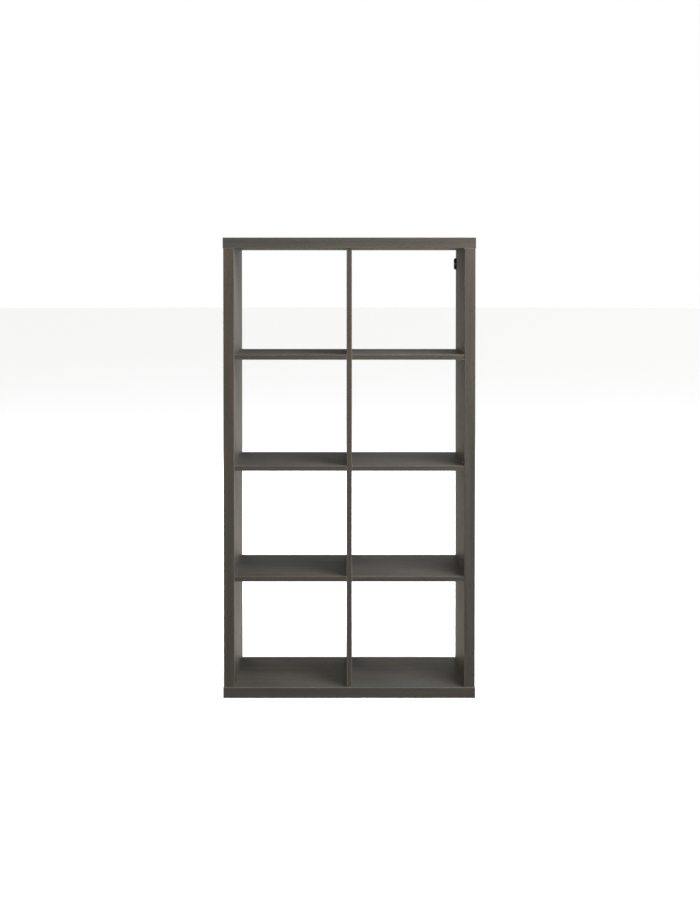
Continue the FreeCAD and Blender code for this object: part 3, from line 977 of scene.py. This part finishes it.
@dataclass(frozen=True)
class SolidBoard:
    """Foiled board with banded front and rear edges: the divider or one shelf."""

    name: str
    run: Run
    seed: float

    def dress(self) -> None:
        """Foils the board and its bands as one piece of figure."""
        faces = [f"{self.name}_board", f"{self.name}_edge_bands"]
        foil = FOIL.material(self.name, self.run, Block.around(*faces), self.seed)
        for face in faces:
            dress(face, foil)
        LOG.info("%s: foiled, grain %s", self.name, self.run.name)


@dataclass(frozen=True)
class Carcass:
    """The four hollow panels, the divider and the six shelves."""

    levels: tuple[str, ...] = ("lower", "middle", "upper")
    columns: tuple[str, ...] = ("left", "right")
    seed_step: float = 3.7

    def panels(self) -> list[HollowPanel]:
        """Lists the hollow panels.

        Returns:
            The panels, each with a figure of its own.
        """
        step = self.seed_step
        level = ("upper", "lower")
        upright = ("outer", "inner")
        return [
            HollowPanel("top_panel", level, "middle_rail", Run.ALONG_X, True, 1 * step),
            HollowPanel("bottom_panel", level, "middle_rail", Run.ALONG_X, True, 2 * step),
            HollowPanel("left_side", upright, "shelf_rails", Run.ALONG_Z, False, 3 * step),
            HollowPanel("right_side", upright, "shelf_rails", Run.ALONG_Z, False, 4 * step),
        ]

    def boards(self) -> list[SolidBoard]:
        """Lists the divider and the shelves.

        Returns:
            The boards, each with a figure of its own.
        """
        made = [SolidBoard("centre_divider", Run.ALONG_Z, 5 * self.seed_step)]
        for row, level in enumerate(self.levels):
            for side, column in enumerate(self.columns):
                seed = (6 + 2 * row + side) * self.seed_step
                made.append(SolidBoard(f"{level}_{column}_shelf", Run.ALONG_X, seed))
        return made

    def dress(self) -> None:
        """Finishes every panel and board."""
        for part in (*self.panels(), *self.boards()):
            part.dress()


# Dowels and metal fittings


@dataclass(frozen=True)
class RoundFittings:
    """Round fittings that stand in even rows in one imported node.

    The counts are how many stand along X, Y and Z, and the radius is that of their widest
    part.
    """

    node: str
    seed: float
    counts: tuple[int, int, int] = (2, 2, 1)
    way: Way = Way.UP
    radius: float = 1.0 * MM
    kind: str = "plain"
    slot: str = "zinc_plated_steel"

    def finish(self) -> bpy.types.Material:
        """Zinc plating with a figure of its own."""
        return ZINC.material(self.node, self.seed)

    def surface(self, length: float) -> Surface:
        """Works out one fitting; each kind has its own.

        Args:
            length: Length from the foot to the head.

        Returns:
            The fitting, its foot on the origin and its head up.
        """
        raise NotImplementedError(self.kind)

    def feet(self) -> np.ndarray:
        """Finds where the fittings stand.

        Returns:
            One row for each foot.
        """
        rows = []
        for low, high, count, way in zip(*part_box(self.node), self.counts, self.way.value):
            if way:
                rows.append([low if way > 0 else high])
            elif count > 1:
                rows.append(np.linspace(low + self.radius, high - self.radius, count))
            else:
                rows.append([(low + high) / 2])
        return np.stack(np.meshgrid(*rows, indexing="ij"), axis=-1).reshape(-1, 3)

    def build(self) -> None:
        """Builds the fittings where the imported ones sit, on the unit's only body."""
        low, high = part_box(self.node)
        axis = Vector(self.way.value)
        turned = self.surface(abs((high - low).dot(axis))).copies(self.feet(), axis)
        name = f"{self.kind}_{self.node.removeprefix('wall_')}"
        piece = turned.piece(name, self.finish())
        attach(piece, ROOT_BODY)
        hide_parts(self.node)
        LOG.info("%s: %d faces in place of %s", name, len(piece.data.polygons), self.node)


@dataclass(frozen=True)
class FlutedDowels(RoundFittings):
    """Beech dowels with chamfered ends and glue flutes."""

    kind: str = "fluted"
    slot: str = "beech_dowel"
    radius: float = 4.0 * MM
    chamfer: float = 0.8 * MM
    flutes: int = 16
    flute_depth: float = 0.28 * MM
    columns: int = 64

    def finish(self) -> bpy.types.Material:
        """Beech with its grain along the dowels."""
        run = Run.ALONG_Z if self.way is Way.UP else Run.ALONG_X
        return BEECH.material(self.node, run, self.seed)

    def surface(self, length: float) -> Surface:
        """Works out one dowel.

        The radius is the full radius less a flute, which is the flute's depth times the
        positive part of a cosine that turns once for each flute, and fades at the chamfers.

        Args:
            length: Length of the dowel.

        Returns:
            The dowel, standing on the origin.
        """
        turn = angles(self.columns)
        step, tip = self.chamfer, self.radius - self.chamfer
        heights = np.array([0, step, 2 * step, length / 2, length - 2 * step, length - step,
                            length])[:, None]
        body = np.array([tip, *[self.radius] * 5, tip])[:, None]
        fade = np.array([0, 0, 1, 1, 1, 0, 0])[:, None]
        flute = self.flute_depth * np.maximum(np.cos(self.flutes * turn), 0)
        return lathe(body - fade * flute, heights)


@dataclass(frozen=True)
class ConnectorBolts(RoundFittings):
    """Hex-socket bolts at the four corners of a level panel, heads sunk in its outer face."""

    kind: str = "hex_socket"
    radius: float = 6.5 * MM
    head_height: float = 3.0 * MM
    head_chamfer: float = 0.6 * MM
    shank_radius: float = 3.0 * MM
    thread_length: float = 20.0 * MM
    thread_depth: float = 0.5 * MM
    pitch: float = 1.0 * MM
    rows_per_pitch: int = 6
    chamfer_bulge: float = 0.7
    socket_sides: int = 6
    socket_apothem: float = 2.0 * MM
    socket_depth: float = 3.5 * MM
    socket_chamfer: float = 0.35 * MM
    columns: int = 36

    def surface(self, length: float) -> Surface:
        """Works out one bolt, from the bottom of its socket over the head to its tip.

        In the socket the radius is that of a hexagon; over the head and the plain shank it
        is a circle's; on the thread it is the root radius plus the ridge's height.

        Args:
            length: Length of the bolt over its head.

        Returns:
            The bolt, its tip on the origin and its head up.
        """
        turn = angles(self.columns)
        hexagon = polygon_radius(turn, self.socket_sides, self.socket_apothem)
        mouth = self.socket_apothem / math.cos(math.pi / self.socket_sides)
        mouth += self.socket_chamfer
        face_edge = self.radius - self.head_chamfer
        bulge = face_edge + self.chamfer_bulge * self.head_chamfer
        bulge_drop = (1 - self.chamfer_bulge) * self.head_chamfer
        rows = [
            (hexagon, length - self.socket_depth),
            (hexagon, length - self.socket_chamfer),
            (mouth, length),
            ((mouth + face_edge) / 2, length),
            (face_edge, length),
            (bulge, length - bulge_drop),
            (self.radius, length - self.head_chamfer),
            (self.radius, length - self.head_height),
            (self.shank_radius, length - self.head_height),
            (self.shank_radius, self.thread_length),
        ]
        plain_radius = np.concatenate([radius * np.ones_like(turn) for radius, _ in rows])
        plain_height = np.array([height for _, height in rows])[:, None]
        steps = round(self.thread_length / self.pitch * self.rows_per_pitch)
        thread_height = np.linspace(self.thread_length, 0, steps + 1)[1:, None]
        ridge = thread_ridge(thread_height, turn, self.pitch)
        ridge = ridge * run_out(thread_height, self.thread_length, self.pitch)
        thread_radius = self.shank_radius - self.thread_depth * (1 - ridge)
        return lathe(np.concatenate([plain_radius, thread_radius]),
                     np.concatenate([plain_height, thread_height]))


@dataclass(frozen=True)
class ThreadedInserts(RoundFittings):
    """Sleeves in the ends of the side panels, with a coarse thread outside."""

    kind: str = "coarse"
    radius: float = 4.95 * MM
    bore_radius: float = 3.05 * MM
    ridge_depth: float = 0.7 * MM
    pitch: float = 2.5 * MM
    rows_per_pitch: int = 8
    columns: int = 36

    def surface(self, length: float) -> Surface:
        """Works out one sleeve: up the threaded outside, over the rim and down the bore.

        Args:
            length: Length of the sleeve.

        Returns:
            The sleeve, standing on the origin.
        """
        turn = angles(self.columns)
        steps = round(length / self.pitch * self.rows_per_pitch)
        outside = np.linspace(0, length, steps + 1)[:, None]
        ridge = thread_ridge(outside, turn, self.pitch) * run_out(outside, length, self.pitch)
        outer = self.radius - self.ridge_depth * (1 - ridge)
        inside = np.array([length, length / 2, 0])[:, None]
        bore = np.full((len(inside), self.columns), self.bore_radius)
        return lathe(np.concatenate([outer, bore]), np.concatenate([outside, inside]),
                     hollow=True)


@dataclass(frozen=True)
class BracketScrews(RoundFittings):
    """Pan-head wood screws with a cross recess that hold the wall bracket."""

    kind: str = "cross_recess"
    radius: float = 3.5 * MM
    head_height: float = 2.2 * MM
    shank_radius: float = 1.75 * MM
    root_depth: float = 0.45 * MM
    pitch: float = 1.6 * MM
    plain_length: float = 3.5 * MM
    point_length: float = 3.0 * MM
    recess_reach: float = 1.9 * MM
    recess_half_width: float = 0.45 * MM
    recess_depth: float = 1.3 * MM
    recess_floor: float = 0.55
    recess_rim: float = 1.02
    recess_lip: float = 0.044 * MM
    point_width: float = 0.04
    rows_per_pitch: int = 8
    dome_rows: int = 8
    columns: int = 96

    def surface(self, length: float) -> Surface:
        """Works out one screw.

        The recess is cross-shaped and narrows to a small cross at its floor. The dome is a
        quarter of an ellipse. On the thread the ridge stands on a root that tapers to the
        point.

        Args:
            length: Length of the screw over its head.

        Returns:
            The screw, its point on the origin and its head up.
        """
        turn = angles(self.columns)
        recess = cross_radius(turn, self.recess_reach, self.recess_half_width)
        rise = np.linspace(np.pi / 2, 0, self.dome_rows + 1)[1:, None]
        base = length - self.head_height
        dome = np.maximum(self.radius * np.cos(rise), recess * self.recess_rim)
        dome_height = base + self.head_height * np.sin(rise)
        collar = np.full((1, self.columns), self.shank_radius)
        steps = round((base - self.plain_length) / self.pitch * self.rows_per_pitch)
        shaft_height = np.linspace(base - self.plain_length, 0, steps + 1)[:, None]
        taper = np.clip(shaft_height / self.point_length, self.point_width, 1)
        ridge = thread_ridge(shaft_height, turn, self.pitch)
        shaft = (self.shank_radius - self.root_depth * (1 - ridge)) * taper
        radius = np.concatenate([recess * self.recess_floor, recess, dome, collar, shaft])
        height = np.concatenate([
            [[length - self.recess_depth]], [[length - self.recess_lip]], dome_height,
            [[base]], shaft_height])
        return lathe(radius, height)


class Fittings:
    """Everything that holds the boards together or the unit to the wall."""

    def sets(self) -> list[RoundFittings]:
        """Lists every set of fittings.

        Returns:
            Dowels, then bolts and inserts from the bottom up, then the bracket's screws.
        """
        pair, shelves = (1, 2, 1), (1, 2, 3)
        return [
            FlutedDowels("corner_dowels_bottom", 41.0),
            FlutedDowels("corner_dowels_top", 42.0),
            FlutedDowels("divider_dowels_bottom", 43.0, pair),
            FlutedDowels("divider_dowels_top", 44.0, pair),
            FlutedDowels("shelf_dowels_left_side", 45.0, shelves, Way.RIGHT),
            FlutedDowels("shelf_dowels_through_divider", 46.0, shelves, Way.RIGHT),
            FlutedDowels("shelf_dowels_right_side", 47.0, shelves, Way.RIGHT),
            ConnectorBolts("connector_bolts_bottom", 51.0, way=Way.DOWN),
            ThreadedInserts("threaded_inserts_bottom", 53.0),
            ConnectorBolts("connector_bolts_top", 52.0),
            ThreadedInserts("threaded_inserts_top", 54.0),
            BracketScrews("wall_bracket_screws", 61.0, (1, 1, 2), Way.LEFT),
        ]

    def build(self) -> None:
        """Builds the new pieces and finishes the bracket."""
        for fittings in self.sets():
            fittings.build()
        block = Block.around("wall_bracket")
        dress("wall_bracket", NYLON.material("wall_bracket", block, 62.0))
        LOG.info("wall_bracket: moulded in nylon")


# Studio


@dataclass(frozen=True)
class SoftBox:
    """Square area light that looks at a point on the unit."""

    name: str
    place: Triple
    target: Triple
    side: float
    power: float
    tint: Colour = (1.0, 1.0, 1.0)
    mirrored: bool = True

    def build(self) -> None:
        """Hangs the light; one that isn't mirrored makes no highlights."""
        light = bpy.data.lights.new(self.name, "AREA")
        light.shape = "SQUARE"
        light.size = self.side
        light.energy = self.power
        light.color = self.tint
        hung = bpy.data.objects.new(self.name, light)
        hung.location = self.place
        aim = Vector(self.target) - Vector(self.place)
        hung.rotation_euler = aim.to_track_quat("-Z", "Y").to_euler()
        hung.visible_glossy = self.mirrored
        bpy.context.scene.collection.objects.link(hung)


@dataclass(frozen=True)
class Studio:
    """Pale floor, soft lights, white surroundings and the camera."""

    floor_radius: float = 60.0
    floor_drop: float = 0.2 * MM
    rings: int = 24
    spokes: int = 96
    inner_share: float = 0.02
    glow_below: tuple[Range, Range] = ((0.43, 0.30), (0.566, 1.07))
    glow_above: tuple[Range, Range] = ((0.20, 0.86), (0.095, 0.73))
    left_to_right: Range = (-0.1, 0.4)
    front_to_rear: Range = (-0.5, 0.7)
    below_to_above: Range = (-0.3, 0.2)
    floor_tint: Colour = (1.0, 0.885, 0.75)
    room_tint: Colour = (0.98, 1.0, 0.98)
    camera_distance: float = 4.807
    camera_height: float = 1.335
    camera_side: float = -0.0194
    camera_tilt_degrees: float = 1.274
    lens_mm: float = 61.15
    sensor_mm: float = 36.0
    shift_x: float = 0.00755
    shift_y: float = -0.1556
    camera_sees_as_far_as: float = 200.0

    def floor(self) -> None:
        """Level disc, its ring radii growing with the cube of their number out to the edge."""
        share = np.linspace(self.inner_share, 1, self.rings)[:, None] ** 3
        radius = np.broadcast_to(share * self.floor_radius, (self.rings, self.spokes))
        near = (np.arange(self.rings - 1) * self.spokes)[:, None]
        quads = ring_quads(near + self.spokes, near, self.spokes)
        mesh = bpy.data.meshes.new("studio_floor")
        faces = quads.tolist() + [list(range(self.spokes))]
        mesh.from_pydata(rings_round_z(radius, -self.floor_drop).tolist(), [], faces)
        mesh.materials.append(PaleFloor().material())
        made = bpy.data.objects.new("studio_floor", mesh)
        made.visible_glossy = False
        made.visible_diffuse = False
        bpy.context.scene.collection.objects.link(made)
        made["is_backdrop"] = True

    def surroundings(self) -> None:
        """White room whose glow differs between the eight corners of the directions.

        The glow passes from corner to corner by a smooth step along each axis of the
        direction, and it turns warm below the horizon. The camera sees plain white.
        """
        world = bpy.data.worlds.new("white_surroundings")
        world.use_nodes = True
        bench = Bench(world.node_tree)
        toward = bench.node("ShaderNodeTexCoord").outputs["Generated"]
        parts = bench.parts(toward)
        levels = []
        for level in (self.glow_below, self.glow_above):
            sides = [bench.spread(parts["X"], *self.left_to_right, *side) for side in level]
            levels.append(bench.spread(parts["Y"], *self.front_to_rear, *sides))
        glow = bench.spread(parts["Z"], *self.below_to_above, *levels)
        height = bench.spread(parts["Z"], *self.below_to_above)
        tint = bench.blend(height, self.floor_tint, self.room_tint)
        seen = bench.node("ShaderNodeLightPath").outputs["Is Camera Ray"]
        ground = world.node_tree.nodes["Background"]
        bench.give(ground.inputs["Color"], bench.blend(seen, tint, (1.0, 1.0, 1.0)))
        bench.give(ground.inputs["Strength"], bench.math("MAXIMUM", glow, seen))
        bpy.context.scene.world = world
        bpy.context.scene.view_settings.view_transform = "Standard"

    def lights(self) -> None:
        """A key from the upper front right, an overhead bank and fills behind and at left."""
        middle = (0.0, 0.0, 0.8)
        upper_right = (0.4, -0.2, 1.4)
        cool = (0.95, 1.0, 1.1)
        for light in (
            SoftBox("key_softbox", (1.4, -1.6, 2.5), upper_right, 1.4, 179.0, cool, False),
            SoftBox("overhead_bank", (0.0, -0.5, 6.0), middle, 7.0, 250.0, cool),
            SoftBox("rear_fill", (-3.0, 4.5, 2.4), middle, 3.0, 380.0, mirrored=False),
            SoftBox("left_fill", (-4.5, 0.4, 1.6), middle, 1.5, 150.0, mirrored=False),
        ):
            light.build()

    def camera(self) -> None:
        """Camera in front of the unit, a little below its top and looking slightly down."""
        low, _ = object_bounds()
        data = bpy.data.cameras.new("front_camera")
        data.sensor_width = self.sensor_mm
        data.lens = self.lens_mm
        data.shift_x = self.shift_x
        data.shift_y = self.shift_y
        data.clip_end = self.camera_sees_as_far_as
        data.dof.use_dof = False
        made = bpy.data.objects.new("front_camera", data)
        made.location = (self.camera_side, low.y - self.camera_distance, self.camera_height)
        made.rotation_euler = (math.radians(90 - self.camera_tilt_degrees), 0, 0)
        bpy.context.scene.collection.objects.link(made)
        bpy.context.scene.camera = made

    def build(self) -> None:
        """Sets up the whole studio."""
        self.floor()
        self.surroundings()
        self.lights()
        self.camera()


def main() -> None:
    """Dresses the carcass, builds the fittings and sets up the studio."""
    logging.basicConfig(level=logging.INFO, format="%(message)s")
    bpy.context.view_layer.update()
    Carcass().dress()
    Fittings().build()
    Studio().build()


if __name__ == "__main__":
    main()
